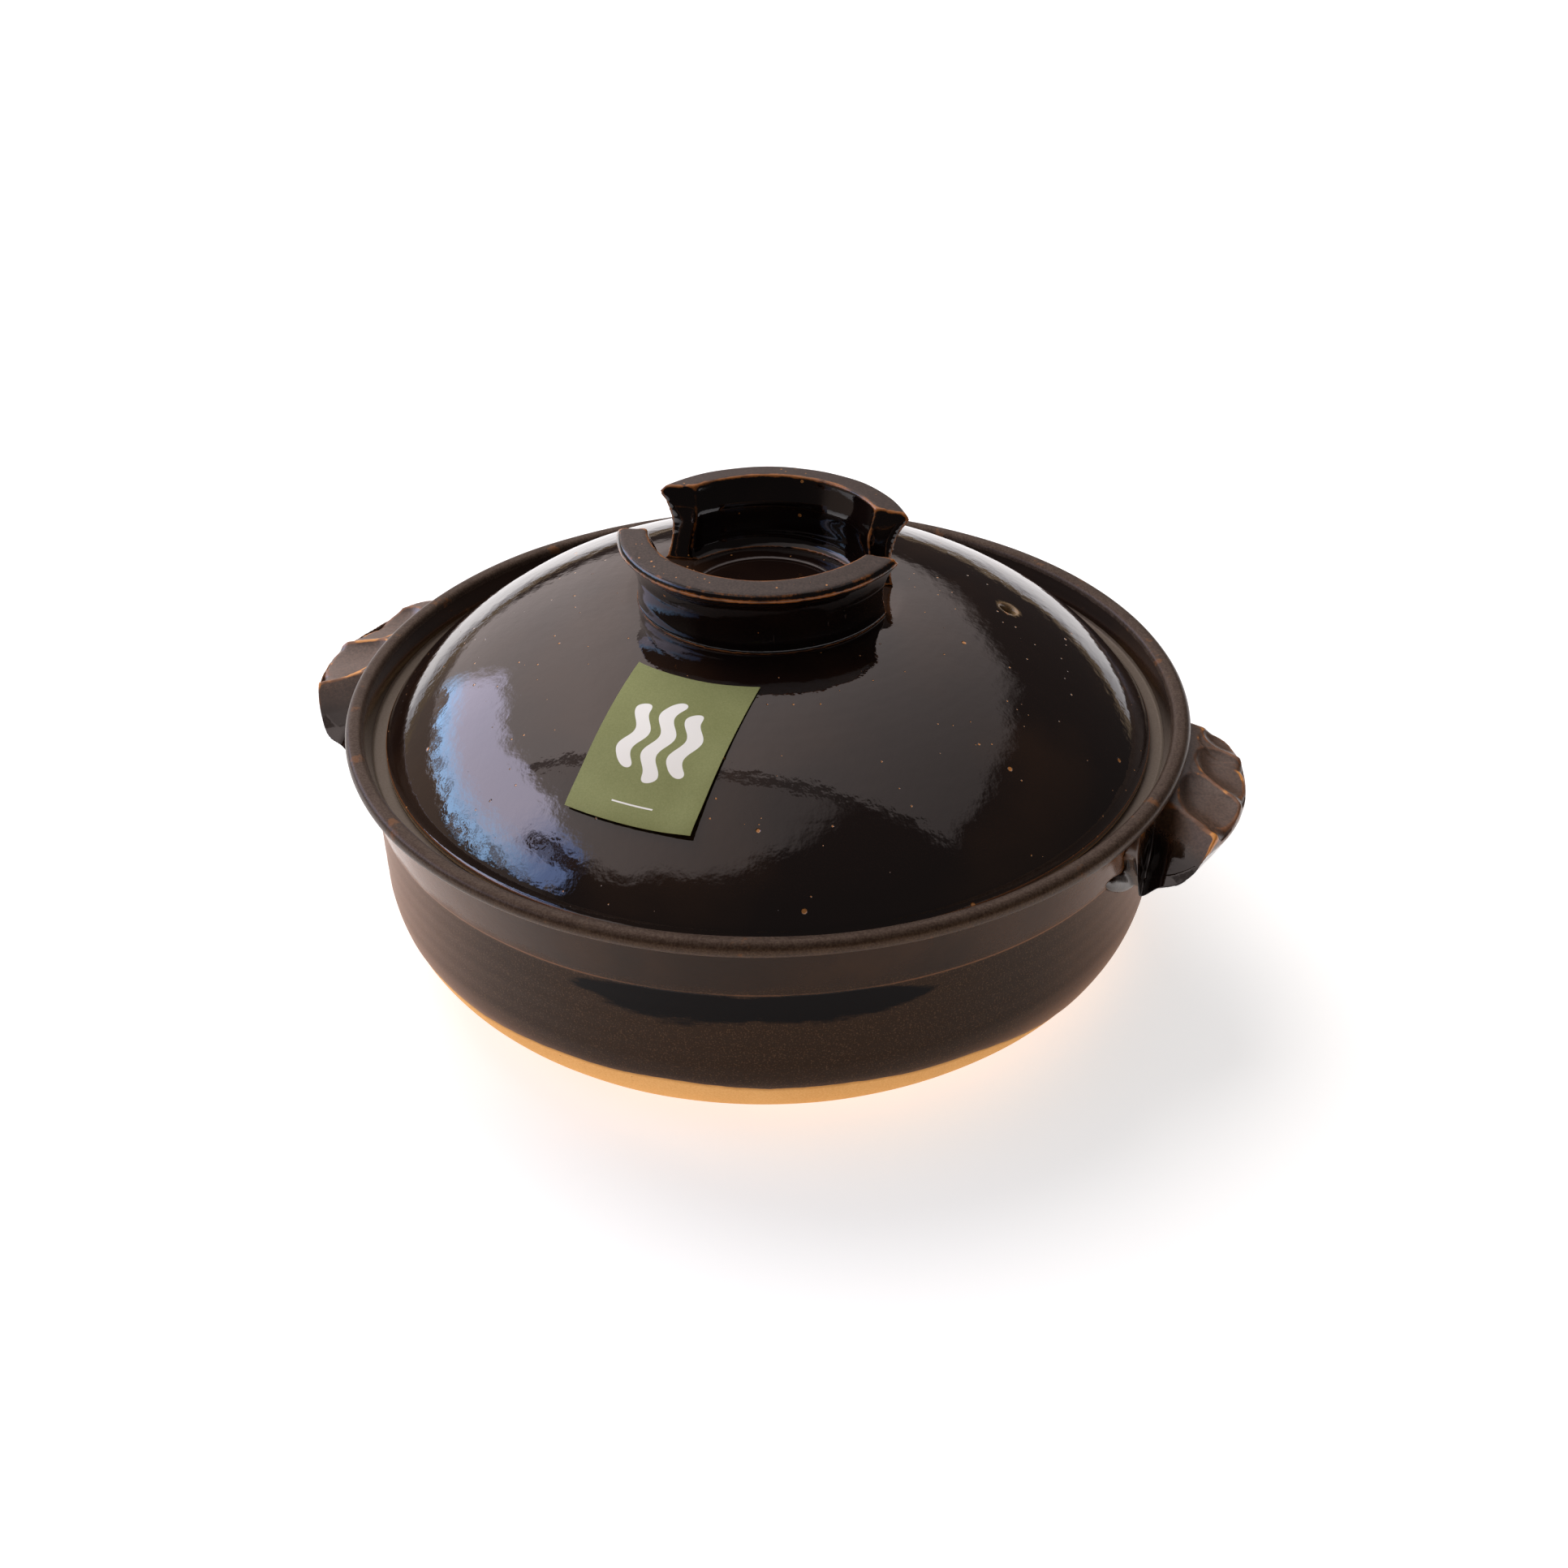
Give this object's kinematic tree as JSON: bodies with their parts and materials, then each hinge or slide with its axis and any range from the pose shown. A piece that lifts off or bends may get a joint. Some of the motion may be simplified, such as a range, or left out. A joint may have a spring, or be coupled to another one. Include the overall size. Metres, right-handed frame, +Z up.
{
  "type": "donabe clay pot",
  "caption": "Round glazed clay pot with a domed lid, a knob of two crescents, two fluted lug handles and a steam hole.",
  "frame": {"origin": "on the table, under the middle of the pot with its handles", "axes": "+Z up, +X along the two handles towards the right one, -Y towards the card on the lid"},
  "size_m": [0.3413, 0.295, 0.1564],
  "materials": {
    "glaze": "gloss",
    "card": "matte",
    "tape": "matte"
  },
  "bodies": {
    "pot": {"pot_bowl": "glaze", "handle_right": "glaze", "handle_left": "glaze"},
    "lid": {"lid_dome": "glaze", "knob_front": "glaze", "knob_back": "glaze", "label_card": "card", "label_tape": "tape"}
  },
  "joints": [
    {"name": "lid_lift", "type": "slide", "parent": "pot", "child": "lid", "axis": [0, 0, 1], "range_m": [0, 0.12]}
  ]
}
